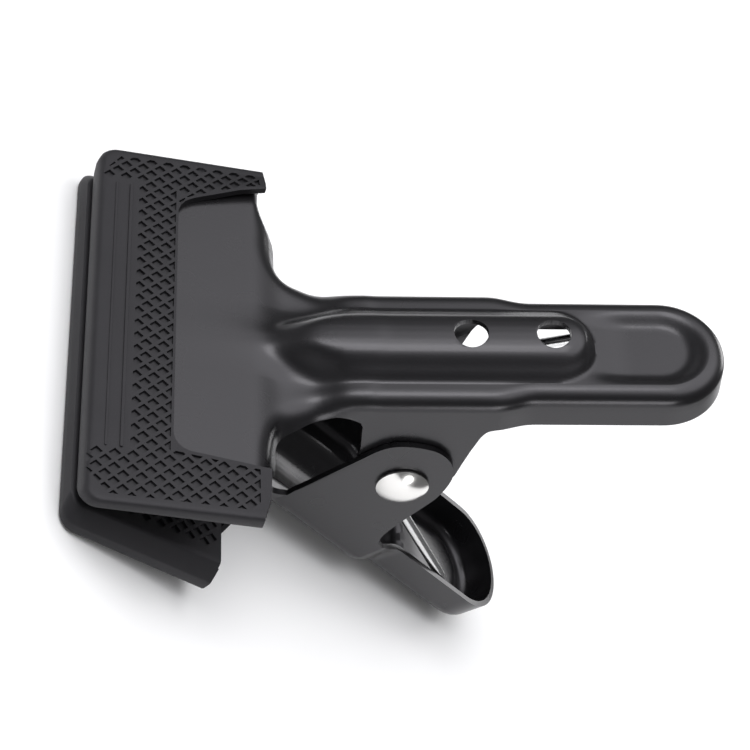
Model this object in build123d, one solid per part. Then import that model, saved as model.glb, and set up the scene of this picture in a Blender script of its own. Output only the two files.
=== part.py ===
"""Wide-jaw spring clamp: two pressed-steel arms hinged on one rivet, closed by a torsion spring.

Both arms are laid out in a frame that sits on the hinge pin. +X points along the handles, +Y
along the pin and +Z from the lower arm to the upper arm, so the closed clamp is mirrored about
z = 0. At the end every piece is turned and lowered until the clamp rests on the floor.
"""
from build123d import *
import os
from math import asin, atan2, cos, degrees, radians, sin, sqrt, tan

# ---- driving dimensions, mm and degrees ----
OVERALL_LENGTH = 140.0      # from the nose of the pads to the end of the handles, along X
NOSE_X = -86.1              # front end of a pad's outer face
SHEET = 1.5                 # steel thickness

# handle: a raised rib on a channel, measured from the ridge line of the rib
HANDLE_ANGLE = 25.9
RIDGE_X, RIDGE_Z = -2.86, 40.27     # point of the ridge line over the first hole
SHOULDER_DROP = 5.5
FREE_EDGE_DROP = 16.6
TAIL_HALF_WIDTH = 15.5
NARROW_START, NARROW_END = 2.0, 18.0
BEND_RADIUS = 4.0
RIB_HALF_WIDTH = 11.2
RIB_TAPER = 38.0
RIB_END = 31.2
HOLE_RADIUS = 4.2
HOLE_SPACING = 20.1

# ears: plates folded down beside the pin, the lower arm's outside the upper arm's
UPPER_EAR_FACE = 17.4
LOWER_EAR_FACE = 19.1
LOBE_X, LOBE_Z, LOBE_RADIUS = -0.6, -4.2, 11.1      # rounded end of the upper ear

# jaws
JAW_ANGLE = 14.16
NOSE_Z = 7.03               # height of the pad's outer face at its front end
PAD_SKIN = 1.8              # rubber over the outside of the steel plate
PLATE_START, PLATE_END = 3.0, 41.6
PLATE_HALF_WIDTH = 50.3
REAR_FLANGE = 5.0           # turned-down rear edge of the plate, below its top
NECK_RADIUS = 14.0

# rubber pads
PAD_HALF_WIDTH = 53.0
PAD_LENGTH = 40.0
PAD_FRONT = 1.1             # how far the front face stands ahead of the outer face's end
GRIP_ANGLE = 12.3
GRIP_GAP = 0.1
PAD_WALL = 4.0
GRIP_INSET = 3.4
WINDOW_START = 18.6
WINDOW_NEAR = -37.2
WINDOW_FAR_FRONT, WINDOW_FAR_REAR = 38.5, 46.5      # the far arm narrows towards the rear
WINDOW_CORNER = 5.0
PAD_CORNER = 4.0

# rivet and spring
SHANK_RADIUS = 4.0
RUNNING_GAP = 0.06
HEAD_RADIUS, HEAD_HEIGHT = 6.6, 2.2
PEEN_RADIUS, PEEN_HEIGHT = 5.4, 1.6
WIRE = 2.8
COIL_RADIUS = 7.0
COIL_HALF_LENGTH = 12.2
COIL_FULL_TURNS = 8
LEG_ANGLE = 41.8            # each leg, from the middle plane
LEG_STRAIGHT = 54.0         # from the coil to the outward bend
LEG_BEND, LEG_BEND_RADIUS = 25.0, 15.0
LEG_CLEARANCE = 0.05        # between the leg's tip and the inside of the handle

WIDE = 200.0                # larger than the clamp, for cutting blocks
SPLIT_OVERLAP = 1.0         # how far the jaw's block and the handle's run past the bend

handle_cos, handle_sin = cos(radians(HANDLE_ANGLE)), sin(radians(HANDLE_ANGLE))
jaw_cos, jaw_sin = cos(radians(JAW_ANGLE)), sin(radians(JAW_ANGLE))
tail_end = (NOSE_X + OVERALL_LENGTH - RIDGE_X) / handle_cos
HANDLE_PLANE = Plane(origin=(RIDGE_X, 0, RIDGE_Z), x_dir=(handle_cos, 0, handle_sin),
                     z_dir=(-handle_sin, 0, handle_cos))
JAW_PLANE = Plane(origin=(NOSE_X, 0, NOSE_Z), x_dir=(jaw_cos, 0, jaw_sin),
                  z_dir=(-jaw_sin, 0, jaw_cos))


def on_handle(along, drop):
    """Point (x, z) of the upper arm's middle section, from the ridge line."""
    return (RIDGE_X + along * handle_cos + drop * handle_sin,
            RIDGE_Z + along * handle_sin - drop * handle_cos)


def on_jaw(along, drop):
    """Point (x, z) of the upper arm's middle section, from the pad's outer face."""
    return (NOSE_X + along * jaw_cos + drop * jaw_sin,
            NOSE_Z + along * jaw_sin - drop * jaw_cos)


def slab(points, low_y, high_y):
    """Prism of an (x, z) outline between two y planes."""
    outline = make_face(Polyline(*points, close=True))
    placed = Plane(origin=(0, high_y, 0), x_dir=(1, 0, 0), z_dir=(0, -1, 0)) * outline
    return extrude(placed, amount=high_y - low_y)


def line_crossing(point_a, angle_a, point_b, angle_b):
    """Where two lines of the middle section cross."""
    slope_a, slope_b = tan(radians(angle_a)), tan(radians(angle_b))
    x = (point_b[1] - point_a[1] + slope_a * point_a[0] - slope_b * point_b[0]) / (slope_a - slope_b)
    return x, point_a[1] + slope_a * (x - point_a[0])


# ---- arms ----
def bend_point(inset):
    """Where the jaw plate's plane meets the handle's shoulder plane."""
    return line_crossing(on_jaw(0, PAD_SKIN + inset), JAW_ANGLE,
                         on_handle(0, SHOULDER_DROP + inset), HANDLE_ANGLE)


def mirrored_outline(far_side):
    """Closed face from the edges on one side of the middle line."""
    return make_face(far_side + [mirror(edge, Plane.XZ) for edge in far_side])


def handle_block(ear_face, inset):
    """Block under the handle: flared at the neck, wide at the pin, narrower behind, round end."""
    waist, tail = ear_face - inset, TAIL_HALF_WIDTH - inset
    radius = NECK_RADIUS + inset
    bend_x, bend_z = bend_point(inset)
    bend_on_jaw = (bend_x - NOSE_X) * jaw_cos + (bend_z - NOSE_Z) * jaw_sin
    bend_on_handle = (bend_x - RIDGE_X) * handle_cos + (bend_z - RIDGE_Z) * handle_sin
    neck_end = bend_on_handle + PLATE_END + NECK_RADIUS - bend_on_jaw
    start = neck_end - 0.7 * radius
    flare = waist + radius - sqrt(radius ** 2 - (neck_end - start) ** 2)
    centre = tail_end - TAIL_HALF_WIDTH
    far_side = [Line((start, 0), (start, flare)),
                RadiusArc((start, flare), (neck_end, waist), -radius),
                Line((neck_end, waist), (NARROW_START, waist)),
                Spline((NARROW_START, waist), (NARROW_END, tail), tangents=((1, 0), (1, 0))),
                Line((NARROW_END, tail), (centre, tail)),
                RadiusArc((centre, tail), (centre + tail, 0), tail)]
    top = HANDLE_PLANE.offset(-SHOULDER_DROP - inset)
    block = extrude(top * mirrored_outline(far_side), amount=-WIDE / 3)
    return round_top(block, HANDLE_PLANE, start + 0.5, BEND_RADIUS - inset)


def jaw_block(ear_face, inset):
    """Block under the jaw plate and the neck that runs from it into the handle."""
    side = PLATE_HALF_WIDTH + inset
    start, rear = PLATE_START - inset, PLATE_END - inset
    waist, radius = ear_face - inset, NECK_RADIUS + inset
    neck_end = rear + radius
    far_side = [Line((start, 0), (start, side)), Line((start, side), (rear, side)),
                Line((rear, side), (rear, waist + radius)),
                RadiusArc((rear, waist + radius), (neck_end, waist), -radius),
                Line((neck_end, waist), (neck_end + 10, waist)),
                Line((neck_end + 10, waist), (neck_end + 10, 0))]
    top = JAW_PLANE.offset(-PAD_SKIN - inset)
    block = extrude(top * mirrored_outline(far_side), amount=-WIDE / 3)
    return round_top(block, JAW_PLANE, rear - 0.5, BEND_RADIUS - inset, neck_end + 9)


def round_top(block, plane, from_along, radius, to_along=WIDE):
    """Round the block's top edges whose middles lie between two distances along the plane."""
    top = block.faces().sort_by(Axis(plane.origin, plane.z_dir))[-1]
    rim = [edge for edge in top.edges()
           if from_along < plane.to_local_coords(edge @ 0.5).X < to_along]
    return fillet(rim, radius)


def free_edge_limit():
    """Everything above the free edges of the jaw's rear flange, the neck and the handle."""
    low_edge = [on_jaw(-5, PAD_SKIN + REAR_FLANGE), on_jaw(PLATE_END + 1, PAD_SKIN + REAR_FLANGE),
                on_jaw(54, PAD_SKIN + REAR_FLANGE + 3.5), on_handle(-27, FREE_EDGE_DROP),
                on_handle(tail_end + 5, FREE_EDGE_DROP)]
    return slab(low_edge + [(tail_end + 5, WIDE / 2), (NOSE_X - 5, WIDE / 2)], -WIDE / 2, WIDE / 2)


def pressed_form(ear_face, inset):
    """Solid under the pressed surface, before it is hollowed."""
    split_x = bend_point(0)[0]
    in_front = Pos(split_x + SPLIT_OVERLAP - WIDE / 2, 0, 0) * Box(WIDE, WIDE, WIDE)
    behind = Pos(split_x - SPLIT_OVERLAP + WIDE / 2, 0, 0) * Box(WIDE, WIDE, WIDE)
    return (jaw_block(ear_face, inset) & in_front) + (handle_block(ear_face, inset) & behind)


def rib_form(inset):
    """Raised rib with sloping sides, a rounded end and a ramp down to the jaw plate."""
    half = RIB_HALF_WIDTH - inset * 0.6
    start, end = -56.0, RIB_END - inset * 0.6
    plan = Pos((start + end) / 2, 0) * SlotOverall(end - start, 2 * half)
    base = HANDLE_PLANE.offset(-SHOULDER_DROP - inset)
    rib = extrude(base * plan, amount=SHOULDER_DROP, taper=RIB_TAPER)
    ramp_foot = on_jaw(PLATE_END - 3.6, PAD_SKIN + inset)
    ramp_head = on_handle(-29.5, inset)
    keep = [ramp_foot, ramp_head, on_handle(60, inset), on_handle(60, 30), (ramp_foot[0], -30)]
    return rib & slab(keep, -WIDE / 2, WIDE / 2)


def ear_outline(front_top, front_low, rear_corner):
    """Side view of the upper arm's ear: two sloping edges and a round lobe past the pin."""
    rear_low = (LOBE_X + LOBE_RADIUS, LOBE_Z)
    lobe_front = (LOBE_X - LOBE_RADIUS * cos(radians(25)), LOBE_Z + LOBE_RADIUS * sin(radians(25)))
    shape = make_face([Line(front_top, front_low), Line(front_low, lobe_front),
                       ThreePointArc(lobe_front, (LOBE_X, LOBE_Z - LOBE_RADIUS), rear_low),
                       Line(rear_low, rear_corner),
                       Line(rear_corner, (rear_corner[0], rear_corner[1] + 8)),
                       Line((rear_corner[0], rear_corner[1] + 8), front_top)])
    return shape


def ears(ear_face, front_top, front_low):
    """The pair of ears, with the pin's holes left for the caller to cut."""
    rear_corner = (8.6, 22.0)
    outline = ear_outline(front_top, front_low, rear_corner)
    placed = Plane(origin=(0, ear_face, 0), x_dir=(1, 0, 0), z_dir=(0, -1, 0)) * outline
    plate = extrude(placed, amount=SHEET)
    return plate + mirror(plate, Plane.XZ)


def pin_hole(radius):
    return Rot(90, 0, 0) * Cylinder(radius, WIDE)


def build_arm(ear_face, front_top, front_low, hole_radius, handle_holes):
    """One arm, built as the upper one."""
    outer = (pressed_form(ear_face, 0.0) & free_edge_limit()) + rib_form(0.0)
    arm = outer - (pressed_form(ear_face, SHEET) + rib_form(SHEET))
    arm += ears(ear_face, front_top, front_low)
    arm -= pin_hole(hole_radius)
    for along in handle_holes:
        arm -= HANDLE_PLANE * Pos(along, 0, 0) * Cylinder(HOLE_RADIUS, 12)
    return arm


# ---- pads ----
def build_pad():
    """Upper rubber pad: a sleeve over the plate's front and sides with a window on top."""
    grip_slope = tan(radians(GRIP_ANGLE))
    face_x = NOSE_X - PAD_FRONT
    grip_rear = line_crossing(on_jaw(PAD_LENGTH, 0), JAW_ANGLE - 90, (face_x, GRIP_GAP), GRIP_ANGLE)
    section = [(face_x, GRIP_GAP), (face_x, NOSE_Z - 1.6), on_jaw(0, 0), on_jaw(PAD_LENGTH, 0),
               grip_rear]
    pad = slab(section, -PAD_HALF_WIDTH, PAD_HALF_WIDTH)
    corners = pad.edges().filter_by(Axis.Z).filter_by(
        lambda edge: abs(edge.center().X - face_x) < 0.1)
    pad = fillet(corners, PAD_CORNER)
    for side in (-1, 1):
        bevel = [(-PAD_WALL, PAD_HALF_WIDTH), (-PAD_WALL - 6, PAD_HALF_WIDTH - 6 * GRIP_INSET / 4),
                 (-PAD_WALL - 6, PAD_HALF_WIDTH + 6), (-PAD_WALL, PAD_HALF_WIDTH + 6)]
        face = make_face(Polyline(*[(side * y, h) for h, y in bevel], close=True))
        across = Plane(origin=JAW_PLANE.origin, x_dir=(0, 1, 0), z_dir=JAW_PLANE.x_dir)
        pad -= extrude(across * face, amount=60, both=True)
    corner = (Align.MIN, Align.CENTER, Align.MAX)
    width = 2 * PLATE_HALF_WIDTH
    pocket = JAW_PLANE * Pos(PLATE_START, 0, -PAD_SKIN) * Box(PAD_LENGTH, width, SHEET, align=corner)
    bend_room = JAW_PLANE * Pos(PLATE_END - BEND_RADIUS - 0.1, 0, -PAD_SKIN) * Box(
        PAD_LENGTH, width, REAR_FLANGE + 0.5, align=corner)
    window_plan = make_face(Polyline(
        (WINDOW_START, WINDOW_NEAR), (WINDOW_START, WINDOW_FAR_FRONT),
        (PAD_LENGTH, WINDOW_FAR_REAR), (PAD_LENGTH + 2, WINDOW_FAR_REAR),
        (PAD_LENGTH + 2, WINDOW_NEAR), close=True))
    front_corners = window_plan.vertices().filter_by(lambda corner: corner.X < WINDOW_START + 1)
    window_plan = fillet(front_corners, WINDOW_CORNER)
    window = extrude(JAW_PLANE * window_plan, amount=PAD_SKIN, both=True)
    return pad - pocket - bend_room - window


# ---- rivet and spring ----
def dome_arc(rim_radius, rim_y, height, side):
    """Half profile of a round cap, from its rim to its top on the axis."""
    ball_radius = (rim_radius ** 2 + height ** 2) / (2 * height)
    half_angle = asin(rim_radius / ball_radius) / 2
    middle = (ball_radius * sin(half_angle),
              rim_y + side * (height - ball_radius * (1 - cos(half_angle))))
    return ThreePointArc((rim_radius, rim_y), middle, (0, rim_y + side * height))


def build_rivet():
    """Solid rivet along Y: domed head on the near side, low peened end on the far side."""
    near, far = -LOWER_EAR_FACE, LOWER_EAR_FACE
    profile = make_face([
        Line((0, near - HEAD_HEIGHT), (0, far + PEEN_HEIGHT)),
        dome_arc(PEEN_RADIUS, far, PEEN_HEIGHT, 1),
        Line((PEEN_RADIUS, far), (SHANK_RADIUS, far)),
        Line((SHANK_RADIUS, far), (SHANK_RADIUS, near)),
        Line((SHANK_RADIUS, near), (HEAD_RADIUS, near)),
        dome_arc(HEAD_RADIUS, near, HEAD_HEIGHT, -1)])
    return revolve(profile, Axis.Y)


def spring_leg(side, foot_angle):
    """Leg from the coil into one handle, its tip bent out against the inside of the handle."""
    slope = radians(LEG_ANGLE)
    foot = (COIL_RADIUS * cos(foot_angle), side * COIL_HALF_LENGTH,
            side * COIL_RADIUS * sin(foot_angle))
    leg_plane = Plane(origin=foot, x_dir=(cos(slope), 0, side * sin(slope)), z_dir=(0, 1, 0))
    bend = JernArc(start=(LEG_STRAIGHT, 0), tangent=(1, 0), radius=LEG_BEND_RADIUS,
                   arc_size=-side * LEG_BEND)
    bend_end = leg_plane.from_local_coords(bend @ 1)
    drop = (bend_end.X - RIDGE_X) * handle_sin - (side * bend_end.Z - RIDGE_Z) * handle_cos
    wanted_drop = SHOULDER_DROP + SHEET + WIRE / 2 + LEG_CLEARANCE
    tip_length = (drop - wanted_drop) / sin(radians(LEG_ANGLE + LEG_BEND - HANDLE_ANGLE))
    tip = Line(bend @ 1, bend @ 1 + (bend % 1) * tip_length)
    return [leg_plane * edge for edge in (Line((0, 0), (LEG_STRAIGHT, 0)), bend, tip)]


def build_spring():
    """Torsion spring: a close-wound coil round the pin with one leg into each handle."""
    foot_angle = radians(LEG_ANGLE + 90)
    turns = COIL_FULL_TURNS + (360 - 2 * degrees(foot_angle)) / 360
    length = 2 * COIL_HALF_LENGTH
    coil_plane = Plane(origin=(0, -COIL_HALF_LENGTH, 0), x_dir=(cos(foot_angle), 0, -sin(foot_angle)),
                       z_dir=(0, 1, 0))
    coil = coil_plane * Helix(pitch=length / turns, height=length, radius=COIL_RADIUS)
    path = Wire(spring_leg(-1, foot_angle) + [coil] + spring_leg(1, foot_angle))
    start = Plane(origin=path @ 0, z_dir=path % 0)
    return sweep(start * Circle(WIRE / 2), path=path, transition=Transition.TRANSFORMED)


# ---- assembly, still in the pin's frame ----
upper_arm = build_arm(UPPER_EAR_FACE, (-20.5, 15.0), (-14.0, 2.3), SHANK_RADIUS + RUNNING_GAP,
                      (0, HOLE_SPACING))
lower_arm = build_arm(LOWER_EAR_FACE, (-21.5, 12.0), (-15.1, -3.4), SHANK_RADIUS, ())
upper_pad = build_pad()
pieces = {
    "lower_arm": mirror(lower_arm, Plane.XY),
    "upper_arm": upper_arm,
    "lower_jaw_pad": mirror(upper_pad, Plane.XY),
    "upper_jaw_pad": upper_pad,
    "pivot_rivet": build_rivet(),
    "torsion_spring": build_spring(),
}

# ---- resting on the floor: on the lower pad's front edge and the end of the lower rib ----
rib_rest = on_handle(RIB_END - SHOULDER_DROP * tan(radians(RIB_TAPER)), 0)
rest_tilt = degrees(atan2(rib_rest[1] - NOSE_Z, rib_rest[0] - NOSE_X))
turned = {name: Rot(0, -rest_tilt, 0) * piece for name, piece in pieces.items()}
boxes = [piece.bounding_box() for piece in turned.values()]
middle_x = (min(box.min.X for box in boxes) + max(box.max.X for box in boxes)) / 2
floor_z = min(box.min.Z for box in boxes)
resting = {name: Pos(-middle_x, 0, -floor_z) * piece for name, piece in turned.items()}
print("pin centre", round(-middle_x, 4), round(-floor_z, 4), "tilt", round(rest_tilt, 4))

os.makedirs("parts", exist_ok=True)
for name, piece in resting.items():
    export_step(piece, f"parts/{name}.step")
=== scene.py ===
import math

import bmesh
import bpy
from mathutils import Matrix, Vector


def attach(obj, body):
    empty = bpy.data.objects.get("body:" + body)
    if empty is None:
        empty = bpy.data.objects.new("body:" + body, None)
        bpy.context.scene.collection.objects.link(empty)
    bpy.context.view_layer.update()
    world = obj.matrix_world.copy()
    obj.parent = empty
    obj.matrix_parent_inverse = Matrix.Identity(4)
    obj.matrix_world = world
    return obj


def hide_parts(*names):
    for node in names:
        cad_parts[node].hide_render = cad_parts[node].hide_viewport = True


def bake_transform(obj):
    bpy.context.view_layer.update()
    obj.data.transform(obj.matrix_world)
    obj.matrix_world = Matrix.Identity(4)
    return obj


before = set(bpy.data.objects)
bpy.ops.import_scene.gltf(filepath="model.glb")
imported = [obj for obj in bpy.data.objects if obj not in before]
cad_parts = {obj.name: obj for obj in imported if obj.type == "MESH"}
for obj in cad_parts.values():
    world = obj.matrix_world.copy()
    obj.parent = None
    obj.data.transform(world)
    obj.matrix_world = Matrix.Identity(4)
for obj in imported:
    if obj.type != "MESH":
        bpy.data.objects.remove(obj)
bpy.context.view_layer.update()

# Everything is laid out in millimetres in the frame of the hinge pin: +X towards the handles,
# +Y along the pin, +Z from the lower arm to the upper one. TO_ROW takes it to the row's frame.
MM = 0.001
PIN_X, PIN_Z = 2.8463, 39.741
TILT = math.radians(22.7217)
TO_ROW = (Matrix.Scale(MM, 4) @ Matrix.Translation((PIN_X, 0, PIN_Z))
          @ Matrix.Rotation(-TILT, 4, "Y"))

SHEET = 1.5
NOSE_X, NOSE_Z = -86.1, 7.03
JAW_ANGLE = math.radians(14.16)
PAD_SKIN = 1.8
RIDGE_X, RIDGE_Z = -2.86, 40.27
HANDLE_ANGLE = math.radians(25.9)
SHOULDER_DROP = 5.5
TAIL_END = 63.1
TAIL_HALF_WIDTH = 15.5
RIB_HALF_WIDTH = 11.2
DISH_DEPTH = 1.9
HOLE_SPACING = 20.1
HOLE_RADIUS = 4.2
BEND_RADIUS = 4.0
PLATE_START, PLATE_END = 3.0, 41.6
PLATE_HALF_WIDTH = 50.3
NECK_RADIUS = 15.5
# Half widths of the arms at their necks, and where along the handle the ears begin and end.
UPPER_WAIST, LOWER_WAIST = 17.4, 19.1
UPPER_EAR_FROM, LOWER_EAR_FROM, EAR_TO = -26.9, -29.6, 6.6
RIVET_RADIUS, RIVET_HOLE_RADIUS = 4.0, 4.06

JAW_DIRECTION = (math.cos(JAW_ANGLE), math.sin(JAW_ANGLE))
HANDLE_DIRECTION = (math.cos(HANDLE_ANGLE), math.sin(HANDLE_ANGLE))


def on_handle(along, drop):
    """(x, z) in the pin frame of a point of the upper arm, from the rib's ridge line."""
    c, s = HANDLE_DIRECTION
    return RIDGE_X + along * c + drop * s, RIDGE_Z + along * s - drop * c


def on_jaw(along, drop):
    """(x, z) in the pin frame of a point of the upper arm, from the pad's outer face."""
    c, s = JAW_DIRECTION
    return NOSE_X + along * c + drop * s, NOSE_Z + along * s - drop * c


def smooth_step(value, low, high):
    t = min(max((value - low) / (high - low), 0.0), 1.0)
    return t * t * t * (t * (6 * t - 15) + 10)


def soft_max(a, b, softness):
    return (a + b + math.sqrt((a - b) ** 2 + softness ** 2)) / 2


def soft_min(a, b, softness):
    return (a + b - math.sqrt((a - b) ** 2 + softness ** 2)) / 2


def interpolate(value, table):
    for (x0, y0), (x1, y1) in zip(table, table[1:]):
        if value <= x1:
            return y0 + (y1 - y0) * (value - x0) / (x1 - x0)
    return table[-1][1]


# ---- mesh helpers ----
def new_object(name, points, faces, mirror_z=False):
    """Object from points in the pin frame. mirror_z makes it the lower arm's piece."""
    mesh = bpy.data.meshes.new(name)
    if mirror_z:
        points = [(x, y, -z) for x, y, z in points]
    mesh.from_pydata([TO_ROW @ Vector(p) for p in points], [], faces)
    obj = bpy.data.objects.new(name, mesh)
    bpy.context.scene.collection.objects.link(obj)
    return obj


def face_outwards(obj):
    """Makes all the faces of a closed mesh point outwards."""
    bm = bmesh.new()
    bm.from_mesh(obj.data)
    bmesh.ops.recalc_face_normals(bm, faces=bm.faces)
    bm.to_mesh(obj.data)
    bm.free()


def apply_modifiers(obj):
    """Turns the object's modifiers into plain geometry."""
    bpy.context.view_layer.update()
    graph = bpy.context.evaluated_depsgraph_get()
    mesh = bpy.data.meshes.new_from_object(obj.evaluated_get(graph))
    obj.modifiers.clear()
    obj.data = mesh


def shade_by_angle(obj, degrees):
    """Smooth shading, with edges sharper than the angle kept sharp."""
    mesh = obj.data
    bm = bmesh.new()
    bm.from_mesh(mesh)
    for face in bm.faces:
        face.smooth = True
    for edge in bm.edges:
        if len(edge.link_faces) == 2 and edge.calc_face_angle(0) > math.radians(degrees):
            edge.smooth = False
    bm.to_mesh(mesh)
    bm.free()


def level_normals(obj):
    """Flat faces shade flat right up to their bevelled edges."""
    modifier = obj.modifiers.new("Normals", "WEIGHTED_NORMAL")
    modifier.keep_sharp = True
    modifier.weight = 60
    apply_modifiers(obj)


def bevel(obj, width, segments=2, angle=35):
    modifier = obj.modifiers.new("Bevel", "BEVEL")
    modifier.width = width * MM
    modifier.segments = segments
    modifier.limit_method = "ANGLE"
    modifier.angle_limit = math.radians(angle)
    modifier.harden_normals = False


def cut(obj, cutter):
    modifier = obj.modifiers.new("Cut", "BOOLEAN")
    modifier.operation = "DIFFERENCE"
    modifier.solver = "EXACT"
    modifier.object = cutter
    apply_modifiers(obj)
    bpy.data.objects.remove(cutter, do_unlink=True)


def prism(name, outline, frame_point, low, high, mirror_z=False):
    """Prism of a plane outline between two heights; frame_point(u, v, height) gives the point."""
    count = len(outline)
    points = [frame_point(u, v, low) for u, v in outline] + [frame_point(u, v, high) for u, v in outline]
    faces = [list(range(count))[::-1], list(range(count, 2 * count))]
    faces += [[i, (i + 1) % count, count + (i + 1) % count, count + i] for i in range(count)]
    obj = new_object(name, points, faces, mirror_z=mirror_z)
    face_outwards(obj)
    return obj


def rounded(corners, steps=6):
    """Closed outline from (u, v, radius) corners, each rounded with an arc."""
    outline = []
    count = len(corners)
    for i, (u, v, radius) in enumerate(corners):
        here = Vector((u, v))
        to_last = (Vector(corners[i - 1][:2]) - here).normalized()
        to_next = (Vector(corners[(i + 1) % count][:2]) - here).normalized()
        if radius <= 0:
            outline.append((u, v))
            continue
        half = to_last.angle(to_next) / 2
        reach = radius / math.tan(half)
        centre = here + (to_last + to_next).normalized() * radius / math.sin(half)
        start, end = here + to_last * reach - centre, here + to_next * reach - centre
        for k in range(steps + 1):
            mix = start.lerp(end, k / steps).normalized() * radius
            outline.append(tuple(centre + mix))
    return outline


def circle(u, v, radius, count=40):
    return [(u + radius * math.cos(2 * math.pi * i / count),
             v + radius * math.sin(2 * math.pi * i / count)) for i in range(count)]


def jaw_point(along, y, height):
    """Point over the pad's outer face: along it from the nose, and height out of it."""
    x, z = on_jaw(along, -height)
    return x, y, z


def handle_point(along, y, height):
    """Point over the rib's ridge line: along it from the first hole, and height out of it."""
    x, z = on_handle(along, -height)
    return x, y, z


def side_point(x, z, y):
    """Point of a side outline, drawn in x and z and drawn out along the pin."""
    return x, y, z


# ---- arms: one sheet whose height is a function of x and y, with a rolled edge all round ----
# Rib's cross-section: (share of its half width, share of its height).
RIB_PROFILE = [(0, 1), (0.18, 0.985), (0.36, 0.925), (0.50, 0.82), (0.60, 0.68), (0.68, 0.53),
               (0.76, 0.40), (0.84, 0.28), (0.92, 0.12), (0.97, 0.03), (1.0, 0)]
# Side lines of the jaw plate's and the handle's top surface: (x, z, slope).
PLATE_LINE = (-47.6, 14.9, 0.2522)
SHOULDER_LINE = (-0.46, 35.32, 0.4855)
# The bend between jaw plate and handle, as x and as distances along both.
BEND_X = -36.9
BEND_ON_JAW = (BEND_X - NOSE_X - PAD_SKIN * JAW_DIRECTION[1]) / JAW_DIRECTION[0]
BEND_ON_HANDLE = (BEND_X - RIDGE_X - SHOULDER_DROP * HANDLE_DIRECTION[1]) / HANDLE_DIRECTION[0]


def surface_x(distance):
    """x of a distance measured along the unrolled sheet, from the jaw's nose."""
    if distance < BEND_ON_JAW:
        return on_jaw(distance, PAD_SKIN)[0]
    return on_handle(distance - BEND_ON_JAW + BEND_ON_HANDLE, SHOULDER_DROP)[0]


def rib_share(along, y):
    """Height of the rib at a point of the handle, as a share of its full height."""
    past_hole = max(along - HOLE_SPACING, 0.0)
    reach = math.hypot(past_hole, y) / RIB_HALF_WIDTH
    return interpolate(reach, RIB_PROFILE) if reach < 1 else 0.0


def dish(along, y):
    """How far the tail's floor lies below its rim."""
    past_centre = max(along - (TAIL_END - TAIL_HALF_WIDTH), 0.0)
    from_rim = TAIL_HALF_WIDTH - BEND_RADIUS - math.hypot(past_centre, y)
    return DISH_DEPTH * smooth_step(from_rim, -0.5, 5.0) * smooth_step(along, 24, 42)


def line_height(x, line):
    start_x, start_z, slope = line
    return start_z + slope * (x - start_x)


def surface_z(x, y):
    """Height of the arm's top surface before the edges roll down."""
    plate = line_height(x, PLATE_LINE)
    shoulder = line_height(x, SHOULDER_LINE)
    along = (x - RIDGE_X - SHOULDER_DROP * HANDLE_DIRECTION[1]) / HANDLE_DIRECTION[0]
    handle = shoulder + SHOULDER_DROP / HANDLE_DIRECTION[0] * rib_share(along, y)
    if x > -18:
        return handle - dish(along, y) / HANDLE_DIRECTION[0]
    plate -= (0.6 + 1.4 * smooth_step(abs(y), 3, 13)) * smooth_step(x, -51, -38)
    ramp_foot = -45.6 + 12.8 * smooth_step(abs(y), 0, 13)
    ramp = plate + 0.90 * (x - ramp_foot)
    fade = 1 - smooth_step(x, -24, -18)
    top = soft_min(handle, ramp, 1.6 * fade + 0.01)
    return soft_max(plate, top, 3.0 * fade + 0.01)


def slope_at(x, y):
    return (surface_z(x + 0.1, y) - surface_z(x - 0.1, y)) / 0.2


def half_outline(waist, ear_from):
    """Sheet edge on one side: (distance, y, outward direction, is the jaw's rear edge)."""
    path = []
    neck_y = waist + NECK_RADIUS
    for i in range(9):
        y = PLATE_HALF_WIDTH + (neck_y - PLATE_HALF_WIDTH) * i / 8
        path.append((PLATE_END, y, (1.0, 0.0), True))
    for i in range(1, 19):
        angle = math.pi / 2 * i / 18
        path.append((PLATE_END + NECK_RADIUS * (1 - math.cos(angle)),
                     neck_y - NECK_RADIUS * math.sin(angle),
                     (math.cos(angle), math.sin(angle)), False))
    neck_end = PLATE_END + NECK_RADIUS
    to_handle = BEND_ON_HANDLE - BEND_ON_JAW
    round_start = TAIL_END - TAIL_HALF_WIDTH
    stations = [neck_end + to_handle + 0.7 * i for i in range(1, 80)]
    stations = [s for s in stations if s < ear_from - 0.3]
    stations += [ear_from + (EAR_TO - ear_from) * i / 40 for i in range(41)]
    stations += [EAR_TO + (round_start - EAR_TO) * i / 60 for i in range(1, 60)]
    narrow_from, narrow_to = 4.0, 17.0
    for along in stations:
        narrowing = smooth_step(along, narrow_from, narrow_to)
        ahead = smooth_step(along + 0.05, narrow_from, narrow_to)
        y = waist + (TAIL_HALF_WIDTH - waist) * narrowing
        turn = (TAIL_HALF_WIDTH - waist) * (ahead - narrowing) / 0.05
        length = math.hypot(1, turn)
        path.append((along - to_handle, y, (-turn / length, 1 / length), False))
    for i in range(25):
        angle = math.pi / 2 * i / 24
        path.append((round_start - to_handle + TAIL_HALF_WIDTH * math.sin(angle),
                     TAIL_HALF_WIDTH * math.cos(angle), (math.sin(angle), math.cos(angle)), False))
    return path


def free_edge(distance):
    """How far the rolled edge reaches below the sheet's top."""
    return interpolate(distance, [(41.6, 6.0), (47, 4.6), (52, 3.8), (57, 3.9), (60, 6.0), (64.3, 8.7),
                                  (97.4, 11.1), (160, 11.1)])


def roll(distance):
    """Extra radius and final angle of the rolled edge, which is wide and open round the neck."""
    on_the_handle = smooth_step(distance, 48, 64)
    return 1.8 * (1 - on_the_handle), math.radians(58 + 32 * on_the_handle)


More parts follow.
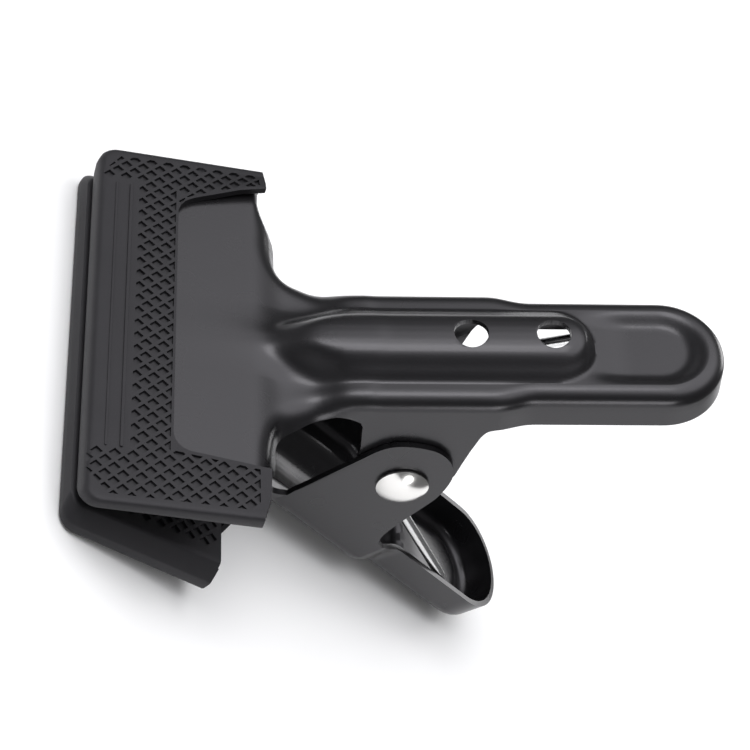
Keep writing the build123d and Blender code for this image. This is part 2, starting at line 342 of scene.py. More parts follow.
def build_arm(name, waist, ear_from, ear_outline, mirror_z):
    """The sheet of one arm with its two ears."""
    points, faces, index = [], [], {}

    def add(point):
        key = tuple(round(c, 3) for c in point)
        if key not in index:
            index[key] = len(points)
            points.append(point)
        return index[key]

    def add_face(corners):
        unique = list(dict.fromkeys(corners))
        if len(unique) > 2:
            faces.append(unique)

    bend_steps = 8
    ear_start, ear_end = (edge - BEND_ON_HANDLE + BEND_ON_JAW for edge in (ear_from, EAR_TO))
    strips, rows, has_ear = [], [], []
    for distance, y, (out_along, out_y), is_rear in half_outline(waist, ear_from):
        extra_radius, end_angle = roll(distance)
        inner_distance = distance - BEND_RADIUS * out_along
        inner_y = max(y - BEND_RADIUS * out_y, 0.0)
        x = surface_x(inner_distance)
        z = surface_z(x, inner_y)
        slope = slope_at(x, inner_y)
        length = math.hypot(1, slope)
        along_axis, up = Vector((1, 0, slope)) / length, Vector((-slope, 0, 1)) / length
        start = Vector((x, inner_y, z))
        depth = free_edge(distance)
        radius = BEND_RADIUS / math.sin(end_angle) + extra_radius
        turns = [end_angle * i / bend_steps for i in range(bend_steps + 1)]
        profile = [(radius * math.sin(turn), radius * (1 - math.cos(turn))) for turn in turns]
        bend_out, bend_down = profile[-1]
        straight = max((depth - bend_down) / math.sin(end_angle), 0.4)
        profile += [(bend_out + math.cos(end_angle) * straight * i / 3,
                     bend_down + math.sin(end_angle) * straight * i / 3) for i in (1, 2, 3)]
        if is_rear:
            share = 1 - 0.75 * smooth_step(y, 32, 46)
            profile = [(outward * share, down * share) for outward, down in profile]
        strip = []
        for outward, down in profile:
            point = start + along_axis * out_along * outward - up * down
            point.y += out_y * outward
            strip.append(add(tuple(point)))
        strips.append(strip)
        has_ear.append(ear_start - 0.01 < distance < ear_end + 0.01)
        if not is_rear or abs(y - waist - NECK_RADIUS) < 1e-6:
            rows.append((x, inner_y))
    for k in range(len(strips) - 1):
        first, second = strips[k], strips[k + 1]
        bands = bend_steps if has_ear[k] and has_ear[k + 1] else len(first) - 1
        for i in range(bands):
            add_face([first[i], first[i + 1], second[i + 1], second[i]])

    along_ear = [strip for strip, inside in zip(strips, has_ear) if inside]
    faces.append(along_ear[0][:bend_steps:-1] + [strip[bend_steps] for strip in along_ear]
                 + along_ear[-1][bend_steps + 1:]
                 + [add((x, waist, z)) for x, z in reversed(ear_outline)])

    columns = [i / 18 for i in range(18)]

    def row_points(x, half_width):
        crease = min(RIB_HALF_WIDTH, half_width * 0.97)
        ys = [crease * c for c in columns] + [crease]
        ys += [crease + (half_width - crease) * i / 4 for i in range(1, 5)]
        return [add((x, y, surface_z(x, y))) for y in ys]

    grid = [row_points(x, half_width) for x, half_width in rows]
    for first, second in zip(grid, grid[1:]):
        for i in range(len(first) - 1):
            add_face([first[i], first[i + 1], second[i + 1], second[i]])

    rear_x, rear_half = rows[0]
    rear_ys = [points[i][1] for i in grid[0]]
    side_ys = sorted({round(points[strip[0]][1], 4) for strip in strips
                      if abs(points[strip[0]][0] - rear_x) < 1e-3 and points[strip[0]][1] > rear_half + 1e-2})
    all_ys = rear_ys + side_ys
    front = []
    for distance in (PLATE_START, 8, 14, 20, 25, 28, 30, 31.5, 33, 34.2, 35.4, 36.5):
        x = surface_x(distance)
        front.append([add((x, y, surface_z(x, y))) for y in all_ys])
    front.append([add((rear_x, y, surface_z(rear_x, y))) for y in all_ys])
    for first, second in zip(front, front[1:]):
        for i in range(len(first) - 1):
            add_face([first[i], first[i + 1], second[i + 1], second[i]])

    arm = new_object(name, points, faces, mirror_z=mirror_z)
    bm = bmesh.new()
    bm.from_mesh(arm.data)
    bmesh.ops.remove_doubles(bm, verts=bm.verts, dist=0.004 * MM)
    bmesh.ops.recalc_face_normals(bm, faces=bm.faces)
    sample = max(bm.faces, key=lambda face: face.calc_area())
    outward = TO_ROW.to_3x3() @ Vector((0, 0, -1 if mirror_z else 1))
    if sample.normal.dot(outward) < 0:
        bmesh.ops.reverse_faces(bm, faces=bm.faces)
    bm.to_mesh(arm.data)
    bm.free()
    mirror = arm.modifiers.new("Mirror", "MIRROR")
    mirror.use_axis = (False, True, False)
    mirror.merge_threshold = 1e-6
    thicken = arm.modifiers.new("Thicken", "SOLIDIFY")
    thicken.thickness = SHEET * MM
    thicken.offset = -1
    thicken.use_even_offset = True
    apply_modifiers(arm)
    return arm


def join(target, others):
    bm = bmesh.new()
    for obj in [target] + others:
        bm.from_mesh(obj.data)
    bm.to_mesh(target.data)
    bm.free()
    for obj in others:
        bpy.data.objects.remove(obj, do_unlink=True)


def spline(points, steps=5):
    """Smooth open curve through the points."""
    result = []
    padded = [points[0]] + list(points) + [points[-1]]
    for p0, p1, p2, p3 in zip(padded, padded[1:], padded[2:], padded[3:]):
        for k in range(steps):
            t = k / steps
            result.append(tuple(
                0.5 * (2 * b + (c - a) * t + (2 * a - 5 * b + 4 * c - d) * t * t
                       + (3 * b - a - 3 * c + d) * t ** 3)
                for a, b, c, d in zip(p0, p1, p2, p3)))
    result.append(tuple(points[-1]))
    return result


# Free edge of each ear from front to rear, as (x, z).
UPPER_EAR = ([(-19.5, 15.0), (-18.9, 13.6), (-16.1, 8.0), (-14.0, 2.3)]
             + [(-0.64 + 11.1 * math.cos(a), -4.22 + 11.1 * math.sin(a))
                for a in [math.radians(160 + 10 * i) for i in range(21)]]
             + [(11.3, 2.0), (11.1, 7.4), (10.1, 12.5), (9.2, 17.7), (8.5, 23.0)]
             + spline([(8.4, 24.2), (8.55, 26.2), (9.2, 27.4)], 4))

LOWER_EAR = (spline([(-22.6, 14.2), (-21.8, 12.6), (-20.2, 8.9), (-15.1, -3.4), (-12.2, -10.2),
                     (-9.4, -13.4), (-5.7, -15.1), (-1.8, -15.9), (1.4, -15.8), (4.8, -14.4),
                     (7.6, -11.9), (9.6, -8.7), (10.6, -4.6), (10.9, 0.2), (10.5, 4.3),
                     (8.8, 12.7), (7.6, 20.0)], 5)
             + spline([(7.4, 22.5), (7.7, 25.2), (8.8, 27.0)], 4))


def finish_arm(name, waist, ear_from, ear_outline, mirror_z, holes):
    arm = build_arm(name, waist, ear_from, ear_outline, mirror_z)
    for along in holes:
        cut(arm, prism("hole", circle(along, 0, HOLE_RADIUS, 48), handle_point, -12, 6, mirror_z))
    cut(arm, prism("rivet hole", circle(0, 0, RIVET_HOLE_RADIUS, 64), side_point, -30, 30, mirror_z))
    bevel(arm, 0.22, 2, 50)
    apply_modifiers(arm)
    shade_by_angle(arm, 40)
    level_normals(arm)
    return arm


upper_arm = finish_arm("Upper_arm", UPPER_WAIST, UPPER_EAR_FROM, UPPER_EAR, False, (0, HOLE_SPACING))
lower_arm = finish_arm("Lower_arm", LOWER_WAIST, LOWER_EAR_FROM, LOWER_EAR, True, ())


# ---- rubber pads ----
PAD_HALF_WIDTH = 53.0
PAD_LENGTH = 39.8
GRIP_SLOPE = math.tan(math.radians(12.3))
GRIP_FRONT_Z = 0.12
FRONT_OVERHANG = 1.1
FACE_X = NOSE_X - FRONT_OVERHANG
WINDOW_START = 18.8
LATTICE_HALF_ALONG, LATTICE_HALF_ACROSS = 2.1, 1.9
RIDGE_WIDTH = 0.85
RECESS = 0.7
LOWER_FRONT_EXTRA = 0.8
FAR_ARM_LIFT = 1.3
LINE_FROM, LINE_TO = -37.8, 41.6


def pad_outline(inset, front_inset, corner):
    """Pad outline in plan: (distance from the front face, y), rear corners square."""
    half, start = PAD_HALF_WIDTH - inset, front_inset
    path = [(PAD_LENGTH + 1.6, half), (30, half), (20, half), (10, half)]
    for i in range(9):
        angle = math.pi / 2 * i / 8
        path.append((start + corner * (1 - math.sin(angle)), half - corner * (1 - math.cos(angle))))
    path += [(start, y) for y in (30, 15, 0, -15, -30)]
    path += [(u, -y) for u, y in reversed(path[:13])]
    return path + [(PAD_LENGTH + 3.0, -half + 5), (PAD_LENGTH + 3.4, -36), (PAD_LENGTH + 2.3, 40),
                   (PAD_LENGTH + 2.1, half - 4)]


def build_pad(name, mirror_z):
    """A rubber sleeve: rings stacked from the grip face to the outer face.

    Each ring is (share of the way up, inset, inset of the front, corner radius)."""
    rings = [(0.0, 5.2, 2.6, 3.0), (0.0, 4.3, 1.8, 3.4), (0.03, 3.6, 1.1, 3.8), (0.07, 3.2, 0.7, 4.0),
             (0.30, 1.6, 0.25, 4.2), (0.50, 0.35, 0.05, 4.4), (0.56, 0.08, 0.0, 4.4), (0.70, 0.0, 0.0, 4.4),
             (0.86, 0.0, 0.1, 4.2), (0.94, 0.25, 0.45, 4.0), (0.985, 0.8, 0.95, 3.6),
             (1.0, 1.5, 1.6, 3.2), (1.0, 2.4, 2.5, 2.6)]
    points, faces, count = [], [], 0
    for share, inset, front_inset, corner in rings:
        outline = pad_outline(inset, front_inset, corner)
        count = len(outline)
        for u, y in outline:
            x_top, z_top = on_jaw(u - FRONT_OVERHANG, 0)
            x_low = FACE_X + u
            if u > PAD_LENGTH:
                x_low = x_top + 1.9
            z_low = GRIP_FRONT_Z + GRIP_SLOPE * (x_low - FACE_X)
            x = x_low + (x_top - x_low) * share
            if mirror_z:
                x -= LOWER_FRONT_EXTRA * (1 - smooth_step(u, 0, 12))
            points.append((x, y, z_low + (z_top - z_low) * share))
    for ring in range(len(rings) - 1):
        for i in range(count):
            j = (i + 1) % count
            faces.append([ring * count + i, ring * count + j,
                          (ring + 1) * count + j, (ring + 1) * count + i])
    faces.append(list(range(count))[::-1])
    faces.append([(len(rings) - 1) * count + i for i in range(count)])
    pad = new_object(name, points, faces, mirror_z=mirror_z)
    face_outwards(pad)
    return pad


# Side edges of the window, as (along the face, y).
WINDOW_FAR = [(18.8, 35.6), (19.4, 37.4), (20.6, 38.9), (22.5, 40.1), (25, 41.1), (28.5, 42.3),
              (34, 44.2), (46, 47.0)]
WINDOW_NEAR = [(18.8, -36.0), (46, -39.2)]


def window_edge(y_side, along):
    """y of the window's side edge, the far one where y_side is above 0."""
    return interpolate(along, WINDOW_FAR if y_side > 0 else WINDOW_NEAR)


def window_outline():
    corner, rear = WINDOW_NEAR
    far = [(along, y, 0) for along, y in WINDOW_FAR]
    return rounded(far + [(*rear, 0), (*corner, 5.0), (WINDOW_START, 0, 0)])


def clip(outline, keep):
    """Part of a convex outline where keep(point) is not negative."""
    result = []
    for i, here in enumerate(outline):
        there = outline[(i + 1) % len(outline)]
        a, b = keep(here), keep(there)
        if a >= 0:
            result.append(here)
        if (a >= 0) != (b >= 0):
            t = a / (a - b)
            result.append((here[0] + (there[0] - here[0]) * t, here[1] + (there[1] - here[1]) * t))
    return result


def outline_area(outline):
    return abs(sum(u0 * v1 - u1 * v0
                   for (u0, v0), (u1, v1) in zip(outline, outline[1:] + outline[:1]))) / 2


def diamonds(along_range, y_range):
    """Centres and outlines of the recessed diamonds between the ridges of a lattice."""
    edge = LATTICE_HALF_ALONG * LATTICE_HALF_ACROSS / math.hypot(LATTICE_HALF_ALONG, LATTICE_HALF_ACROSS)
    share = 1 - RIDGE_WIDTH / 2 / edge
    half_along, half_across = LATTICE_HALF_ALONG * share, LATTICE_HALF_ACROSS * share

    def steps(low_high, step):
        return range(math.ceil(low_high[0] / step), math.floor(low_high[1] / step) + 1)

    for row in steps(y_range, LATTICE_HALF_ACROSS):
        for column in steps(along_range, LATTICE_HALF_ALONG):
            if (row + column) % 2:
                continue
            along, y = column * LATTICE_HALF_ALONG - 0.8, row * LATTICE_HALF_ACROSS + 0.4
            yield along, y, [(along - half_along, y), (along, y - half_across),
                             (along + half_along, y), (along, y + half_across)]


def lattice_cells():
    """Recesses of the pad's outer face, clipped to the bands beside the window."""
    outer = PAD_HALF_WIDTH - 2.4
    cells = []
    for along, y, cell in diamonds((0, PAD_LENGTH + 1), (-PAD_HALF_WIDTH, PAD_HALF_WIDTH)):
        limits = [lambda p: PAD_LENGTH - 0.6 - p[0], lambda p: outer - abs(p[1]),
                  lambda p: p[0] + (outer - abs(p[1])) * 0.8 - 4.2]
        if -39.5 < y < 43.0 and along < WINDOW_START + 1.0:
            limits += [lambda p: p[0] - 8.9, lambda p: WINDOW_START - 0.6 - p[0]]
        elif along >= WINDOW_START - 1.0:
            limits += [lambda p: window_edge(-1, p[0]) - 0.9 - p[1]] if y < 0 else [
                lambda p: p[1] - 0.9 - window_edge(1, p[0])]
        for limit in limits:
            cell = clip(cell, limit)
        if len(cell) > 2 and outline_area(cell) > 0.7:
            cells.append(cell)
    return cells


def grip_cells():
    """Recesses of the grip face."""
    across = (6.6 - PAD_HALF_WIDTH, PAD_HALF_WIDTH - 7.2)
    return [cell for _, _, cell in diamonds((4.0, PAD_LENGTH + 0.5), across)]


def cell_cutter(cells, frame_point, mirror_z):
    """All the cells as one cutter, narrower at the bottom of each recess."""
    points, faces = [], []
    for cell in cells:
        base, count = len(points), len(cell)
        centre_u = sum(u for u, _ in cell) / count
        centre_v = sum(v for _, v in cell) / count
        for height, grow in ((-RECESS, 0.88), (1.0, 1.17)):
            for u, v in cell:
                points.append(frame_point(centre_u + (u - centre_u) * grow,
                                          centre_v + (v - centre_v) * grow, height))
        faces += [[base + i for i in range(count)], [base + count + i for i in range(count)][::-1]]
        faces += [[base + i, base + count + i, base + count + (i + 1) % count, base + (i + 1) % count]
                  for i in range(count)]
    cutter = new_object("cells", points, faces, mirror_z=mirror_z)
    face_outwards(cutter)
    return cutter


def grip_point(along, y, height):
    """Point of the grip face: along it from the front, and height out of it."""
    return FACE_X + along, y, GRIP_FRONT_Z + GRIP_SLOPE * along - height


def jaw_side_point(along, drop, y):
    """Point of a side outline drawn along the jaw plate and down from the pad's outer face."""
    x, z = on_jaw(along, drop)
    return x, y, z


PAST_PAD, PAST_PAD_DROP = 60, 16.0


def bend_room():
    """Side outline of the room the plate's rolled rear edge takes in the pad."""
    inner, centre_drop = BEND_RADIUS - SHEET - 0.1, PAD_SKIN + BEND_RADIUS
    arc = [(PLATE_END - BEND_RADIUS + inner * math.sin(a), centre_drop - inner * math.cos(a))
           for a in [math.pi / 2 * i / 6 for i in range(7)]]
    return ([(PLATE_END - BEND_RADIUS, PAD_SKIN + 0.5)] + arc
            + [(arc[-1][0], PAST_PAD_DROP), (PAST_PAD, PAST_PAD_DROP), (PAST_PAD, PAD_SKIN + 0.5)])


def finish_pad(name, mirror_z):
    pad = build_pad(name, mirror_z)
    pocket_half = PLATE_HALF_WIDTH + 0.1
    pocket = [(PLATE_START - 0.1, -pocket_half), (PAST_PAD, -pocket_half),
              (PAST_PAD, pocket_half), (PLATE_START - 0.1, pocket_half)]
    cut(pad, prism("pocket", pocket, jaw_point, -PAD_SKIN - SHEET - 0.1, -PAD_SKIN + 0.02, mirror_z))
    cut(pad, prism("bend room", bend_room(), jaw_side_point, -PLATE_HALF_WIDTH, PLATE_HALF_WIDTH, mirror_z))
    rear = PLATE_END - 0.6
    beyond = [(rear, PAD_SKIN + 0.5), (PAST_PAD, PAD_SKIN + 0.5),
              (PAST_PAD, PAST_PAD_DROP), (rear, PAST_PAD_DROP)]
    cut(pad, prism("rear end", beyond, jaw_side_point, -PAD_HALF_WIDTH - 1, PAD_HALF_WIDTH + 1, mirror_z))
    cut(pad, prism("window", window_outline(), jaw_point, -PAD_SKIN - 0.5, 3, mirror_z))
    cut(pad, cell_cutter(lattice_cells(), jaw_point, mirror_z))
    cut(pad, cell_cutter(grip_cells(), grip_point, mirror_z))
    lift_far_arm(pad, mirror_z)
    bevel(pad, 0.12, 2, 40)
    apply_modifiers(pad)
    shade_by_angle(pad, 40)
    level_normals(pad)
    return pad


def lift_far_arm(pad, mirror_z):
    """The narrow arm of the pad's skin stands a little off the plate towards its inner edge."""
    to_pin = TO_ROW.inverted()
    bm = bmesh.new()
    bm.from_mesh(pad.data)
    bmesh.ops.triangulate(bm, faces=[face for face in bm.faces if len(face.verts) > 4])
    for vert in bm.verts:
        x, y, z = to_pin @ vert.co
        z = -z if mirror_z else z
        along = (x - NOSE_X) * JAW_DIRECTION[0] + (z - NOSE_Z) * JAW_DIRECTION[1]
        drop = (x - NOSE_X) * JAW_DIRECTION[1] - (z - NOSE_Z) * JAW_DIRECTION[0]
        if drop > PAD_SKIN + 0.1 or y < 36 or along < WINDOW_START:
            continue
        edge = window_edge(1, along)
        inward = 1 - smooth_step(y, edge, 51.5)
        lift = FAR_ARM_LIFT * smooth_step(along, 19, 42) * inward
        x -= lift * JAW_DIRECTION[1]
        z += lift * JAW_DIRECTION[0]
        vert.co = TO_ROW @ Vector((x, y, -z if mirror_z else z))
    bm.to_mesh(pad.data)
    bm.free()


def raised_line(along, width, height, mirror_z):
    low, high, radius = along - width / 2, along + width / 2, width * 0.45
    outline = rounded([(low, LINE_FROM, radius), (high, LINE_FROM, radius),
                       (high, LINE_TO, radius), (low, LINE_TO, radius)], 4)
    line = prism("Pad_line", outline, jaw_point, -0.2, height, mirror_z)
    bevel(line, 0.1, 2, 40)
    apply_modifiers(line)
    shade_by_angle(line, 40)
    level_normals(line)
    return line


pads = {}
for pad_name, lower in (("Upper_pad", False), ("Lower_pad", True)):
    pad = finish_pad(pad_name, lower)
    join(pad, [raised_line(3.3, 0.6, 0.3, lower), raised_line(6.9, 0.8, 0.45, lower)])
    pads[lower] = pad


# ---- rivet ----
def lathe(name, profile, segments=64):
    """Solid of revolution about the pin from (radius, y) pairs."""
    points, faces = [], []
    for radius, y in profile:
        for i in range(segments):
            angle = 2 * math.pi * i / segments
            points.append((radius * math.cos(angle), y, radius * math.sin(angle)))
    for ring in range(len(profile) - 1):
        for i in range(segments):
            j = (i + 1) % segments
            faces.append([ring * segments + i, ring * segments + j,
                          (ring + 1) * segments + j, (ring + 1) * segments + i])
    faces += [list(range(segments)), [(len(profile) - 1) * segments + i for i in range(segments)]]
    obj = new_object(name, points, faces)
    face_outwards(obj)
    shade_by_angle(obj, 40)
    return obj


def cap(rim_radius, rim_y, height, side, steps=12):
    """Round cap profile from its top to its rim."""
    ball = (rim_radius ** 2 + height ** 2) / (2 * height)
    top = math.asin(rim_radius / ball)
    return [(max(ball * math.sin(top * i / steps), 0.01),
             rim_y + side * (height - ball * (1 - math.cos(top * i / steps)))) for i in range(steps + 1)]


EAR_FACE = 19.1
rivet = lathe("Rivet", cap(6.35, -20.2, 2.1, -1)
              + [(6.6, -20.0), (6.65, -19.7), (6.5, -19.3), (6.2, -EAR_FACE), (RIVET_RADIUS, -EAR_FACE)]
              + [(RIVET_RADIUS, EAR_FACE)] + cap(5.4, EAR_FACE, 1.5, 1)[::-1])

# ---- spring ----
COIL_RADIUS, WIRE, COIL_HALF = 7.0, 2.8, 12.2
LEG_ANGLE = math.radians(41.8)
BEND = math.radians(25)


def spring_path():
    """Centre line: lower leg's tip, the leg, the coil, the upper leg and its tip."""
    foot_angle = LEG_ANGLE + math.pi / 2
    straight, bend_radius, tip = 54.0, 15.0, 6.3

    def leg(side):
        def along(angle):
            return Vector((math.cos(angle), 0, side * math.sin(angle)))

        foot = Vector((COIL_RADIUS * math.cos(foot_angle), side * COIL_HALF,
                       side * COIL_RADIUS * math.sin(foot_angle)))
        points = [foot + along(LEG_ANGLE) * straight * i / 6 for i in range(1, 7)]
        for i in range(1, 7):
            points.append(points[-1] + along(LEG_ANGLE + BEND * (i - 0.5) / 6) * bend_radius * BEND / 6)
        points.append(points[-1] + along(LEG_ANGLE + BEND) * tip)
        return points

    turns = 8 + (2 * math.pi - 2 * foot_angle) / (2 * math.pi)
    start, steps = 2 * math.pi - foot_angle, 8 * 40
    coil = []
    for i in range(steps + 1):
        angle = start - 2 * math.pi * turns * i / steps
        coil.append(Vector((COIL_RADIUS * math.cos(angle), -COIL_HALF + 2 * COIL_HALF * i / steps,
                            COIL_RADIUS * math.sin(angle))))
    return leg(-1)[::-1] + coil + leg(1)


def tube(name, path, radius, sides=20):
    """Round wire along a path, with closed, slightly rounded ends."""
    last = len(path) - 1
    tangents = [(path[min(i + 1, last)] - path[max(i - 1, 0)]).normalized() for i in range(last + 1)]
    side = Vector((0, 1, 0))
    points, faces, rings = [], [], []
    stations = [(path[0], tangents[0], 0.8), (path[0] + tangents[0] * 0.25, tangents[0], 1.0)]
    stations += [(p, t, 1.0) for p, t in zip(path[1:-1], tangents[1:-1])]
    stations += [(path[-1] - tangents[-1] * 0.25, tangents[-1], 1.0), (path[-1], tangents[-1], 0.8)]
    for centre, tangent, share in stations:
        across = (side - tangent * side.dot(tangent)).normalized()
        other = tangent.cross(across)
        ring = []
        for i in range(sides):
            angle = 2 * math.pi * i / sides
            ring.append(len(points))
            outward = across * math.cos(angle) + other * math.sin(angle)
            points.append(tuple(centre + outward * radius * share))
        rings.append(ring)
    for first, second in zip(rings, rings[1:]):
        faces += [[first[i], first[(i + 1) % sides], second[(i + 1) % sides], second[i]]
                  for i in range(sides)]
    faces += [rings[0][::-1], rings[-1]]
    obj = new_object(name, points, faces)
    face_outwards(obj)
    shade_by_angle(obj, 50)
    return obj


spring = tube("Spring", spring_path(), WIRE / 2)


# ---- materials ----
def new_material(name):
    material = bpy.data.materials.new(name)
    material.use_nodes = True
    return material, material.node_tree, material.node_tree.nodes["Principled BSDF"]


def add_noise(tree, scale, detail, coordinates):
    noise = tree.nodes.new("ShaderNodeTexNoise")
    noise.inputs["Scale"].default_value = scale
    noise.inputs["Detail"].default_value = detail
    tree.links.new(coordinates.outputs["Object"], noise.inputs["Vector"])
    return noise


def add_bump(tree, shader, height, strength, distance):
    bump = tree.nodes.new("ShaderNodeBump")
    bump.inputs["Strength"].default_value = strength
    bump.inputs["Distance"].default_value = distance
    tree.links.new(height, bump.inputs["Height"])
    tree.links.new(bump.outputs["Normal"], shader.inputs["Normal"])


def add_range(tree, value, low, high):
    spread = tree.nodes.new("ShaderNodeMapRange")
    spread.inputs["To Min"].default_value = low
    spread.inputs["To Max"].default_value = high
    tree.links.new(value, spread.inputs["Value"])
    return spread.outputs["Result"]


def powder_coat():
    """Black satin powder coat: a faint orange peel and small changes in gloss."""
    material, tree, shader = new_material("Black powder coat")
    coordinates = tree.nodes.new("ShaderNodeTexCoord")
    fine = add_noise(tree, 1400.0, 3.0, coordinates)
    broad = add_noise(tree, 60.0, 2.0, coordinates)
    ramp = tree.nodes.new("ShaderNodeValToRGB")
    ramp.color_ramp.elements[0].color = (0.0045, 0.0044, 0.0049, 1)
    ramp.color_ramp.elements[1].color = (0.0070, 0.0068, 0.0076, 1)
    tree.links.new(broad.outputs["Fac"], ramp.inputs["Fac"])
    tree.links.new(ramp.outputs["Color"], shader.inputs["Base Color"])
    tree.links.new(add_range(tree, broad.outputs["Fac"], 0.25, 0.31), shader.inputs["Roughness"])
    shader.inputs["Specular IOR Level"].default_value = 0.5
    shader.inputs["Specular Tint"].default_value = (0.97, 0.95, 1.0, 1)
    add_bump(tree, shader, fine.outputs["Fac"], 0.12, 0.00012)
    return material


def pad_rubber():
    """Dark matte rubber with a fine grain and dusty lighter patches."""
    material, tree, shader = new_material("Pad rubber")
    coordinates = tree.nodes.new("ShaderNodeTexCoord")
    fine = add_noise(tree, 2600.0, 4.0, coordinates)
    broad = add_noise(tree, 90.0, 4.0, coordinates)
    ramp = tree.nodes.new("ShaderNodeValToRGB")
    ramp.color_ramp.elements[0].color = (0.0070, 0.0068, 0.0077, 1)
    ramp.color_ramp.elements[1].color = (0.0125, 0.0121, 0.0138, 1)
    tree.links.new(broad.outputs["Fac"], ramp.inputs["Fac"])
    tree.links.new(ramp.outputs["Color"], shader.inputs["Base Color"])
    tree.links.new(add_range(tree, fine.outputs["Fac"], 0.48, 0.60), shader.inputs["Roughness"])
    shader.inputs["Specular IOR Level"].default_value = 0.36
    shader.inputs["Specular Tint"].default_value = (0.97, 0.95, 1.0, 1)
    add_bump(tree, shader, fine.outputs["Fac"], 0.25, 0.0001)
    return material


def bright_metal(name, color, low, high):
    """Plated steel with light wear in its gloss."""
    material, tree, shader = new_material(name)
    coordinates = tree.nodes.new("ShaderNodeTexCoord")
    wear = add_noise(tree, 900.0, 5.0, coordinates)
    shader.inputs["Metallic"].default_value = 1.0
    shader.inputs["Base Color"].default_value = color
    tree.links.new(add_range(tree, wear.outputs["Fac"], low, high), shader.inputs["Roughness"])
    add_bump(tree, shader, wear.outputs["Fac"], 0.06, 0.0001)
    return material


def use_material(obj, material):
    obj.data.materials.clear()
    obj.data.materials.append(material)


coat, rubber = powder_coat(), pad_rubber()
nickel = bright_metal("Bright plating", (0.83, 0.82, 0.80, 1), 0.14, 0.26)
wire = bright_metal("Spring wire", (0.70, 0.70, 0.70, 1), 0.16, 0.30)

for obj, material, slot, node, body in (
        (upper_arm, coat, "black_coat", "upper_arm", "upper_arm"),
        (lower_arm, coat, "black_coat", "lower_arm", "lower_arm"),
        (pads[False], rubber, "pad_rubber", "upper_jaw_pad", "upper_arm"),
        (pads[True], rubber, "pad_rubber", "lower_jaw_pad", "lower_arm"),
        (rivet, nickel, "bright_plating", "pivot_rivet", "lower_arm"),
        (spring, wire, "spring_wire", "torsion_spring", None)):
    use_material(obj, material)
    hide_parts(node)
    if body:
        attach(obj, body)
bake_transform(spring)


# ---- floor, light and camera ----
LIGHT_TARGET = (0, 0, 0.045)
FLOOR_REACH = 6.0
FLOOR_GAP = 0.0003
GLOW_STRENGTH = 2.6
# The world's brightness as (cosine of the angle from the middle of the glow, brightness).
GLOW_LEVELS = [(0.0, 0.05), (0.50, 0.07), (0.66, 0.14), (0.78, 0.36), (0.87, 0.88), (0.94, 1.0)]


def area_light(name, direction, distance, size, power):
    data = bpy.data.lights.new(name, "AREA")
    data.shape = "DISK"
    data.size = size
    data.energy = power
    light = bpy.data.objects.new(name, data)
    aim = Vector(LIGHT_TARGET)
    light.location = aim + Vector(direction).normalized() * distance
    light.rotation_euler = (aim - light.location).to_track_quat("-Z", "Y").to_euler()
    light.visible_camera = False
    bpy.context.scene.collection.objects.link(light)


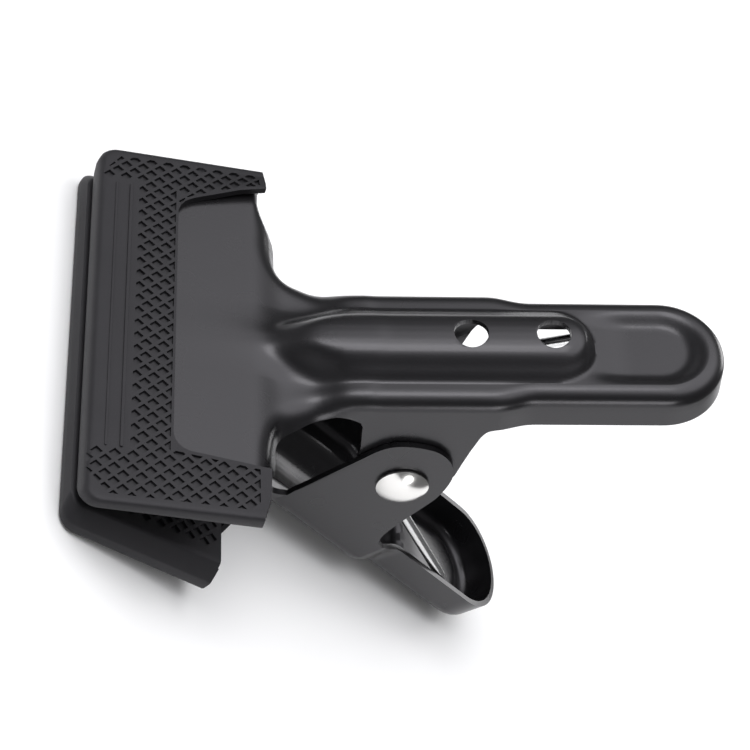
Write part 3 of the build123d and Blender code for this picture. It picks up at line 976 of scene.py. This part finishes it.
def studio():
    """A pale floor, a world that glows from high above the jaws, and three soft lights.

    The camera sees plain white where the world would be."""
    floor_mesh = bpy.data.meshes.new("Floor")
    floor_mesh.from_pydata([(-FLOOR_REACH, -FLOOR_REACH, 0), (FLOOR_REACH, -FLOOR_REACH, 0),
                            (FLOOR_REACH, FLOOR_REACH, 0), (-FLOOR_REACH, FLOOR_REACH, 0)],
                           [], [(0, 1, 2, 3)])
    floor = bpy.data.objects.new("Floor", floor_mesh)
    floor.location.z = -FLOOR_GAP
    bpy.context.scene.collection.objects.link(floor)
    material, tree, shader = new_material("Pale floor")
    shader.inputs["Base Color"].default_value = (0.97, 0.97, 0.97, 1)
    shader.inputs["Roughness"].default_value = 0.9
    shader.inputs["Specular IOR Level"].default_value = 0.1
    floor.data.materials.append(material)

    world = bpy.data.worlds.new("Studio")
    bpy.context.scene.world = world
    world.use_nodes = True
    tree = world.node_tree
    background = tree.nodes["Background"]
    coordinates = tree.nodes.new("ShaderNodeTexCoord")
    towards_glow = tree.nodes.new("ShaderNodeVectorMath")
    towards_glow.operation = "DOT_PRODUCT"
    towards_glow.inputs[1].default_value = Vector((-0.35, 0.15, 0.92)).normalized()
    ramp = tree.nodes.new("ShaderNodeValToRGB")
    ramp.color_ramp.elements.remove(ramp.color_ramp.elements[1])
    for position, level in GLOW_LEVELS:
        element = ramp.color_ramp.elements.new(position) if position else ramp.color_ramp.elements[0]
        element.position = position
        element.color = (level, level, level * 1.02, 1)
    tree.links.new(coordinates.outputs["Generated"], towards_glow.inputs[0])
    tree.links.new(towards_glow.outputs["Value"], ramp.inputs["Fac"])
    tree.links.new(ramp.outputs["Color"], background.inputs["Color"])
    background.inputs["Strength"].default_value = GLOW_STRENGTH
    backdrop = tree.nodes.new("ShaderNodeBackground")
    backdrop.inputs["Color"].default_value = (1, 1, 1, 1)
    light_path = tree.nodes.new("ShaderNodeLightPath")
    chooser = tree.nodes.new("ShaderNodeMixShader")
    tree.links.new(light_path.outputs["Is Camera Ray"], chooser.inputs["Fac"])
    tree.links.new(background.outputs["Background"], chooser.inputs[1])
    tree.links.new(backdrop.outputs["Background"], chooser.inputs[2])
    tree.links.new(chooser.outputs["Shader"], tree.nodes["World Output"].inputs["Surface"])

    area_light("Key", (-0.72, 0.08, 0.69), 1.1, 0.5, 2.5)
    area_light("Near card", (0.20, -0.95, 0.18), 0.8, 0.28, 1.0)
    area_light("Far card", (0.72, 0.52, 0.46), 0.8, 0.35, 1.2)


CAMERA_ROTATION = ((0.8705, -0.0366, 0.4908), (-0.2681, 0.801, 0.5352), (-0.4128, -0.5975, 0.6875))
CAMERA_OFFSET = (6.03, -11.97, -557.92)


def place_camera():
    """Camera from its rotation and offset against the pin's frame."""
    turn = Matrix(CAMERA_ROTATION).transposed()
    place = turn @ -Vector(CAMERA_OFFSET)
    in_pin = Matrix.Translation(place) @ turn.to_4x4()
    in_row = TO_ROW @ in_pin
    data = bpy.data.cameras.new("Camera")
    data.sensor_width = 36.0
    data.lens = 105.3
    data.clip_start = 0.01
    camera = bpy.data.objects.new("Camera", data)
    camera.matrix_world = (Matrix.Translation(in_row.to_translation())
                           @ in_row.to_quaternion().to_matrix().to_4x4())
    bpy.context.scene.collection.objects.link(camera)
    bpy.context.scene.camera = camera


studio()
place_camera()
bpy.context.scene.view_settings.view_transform = "Standard"
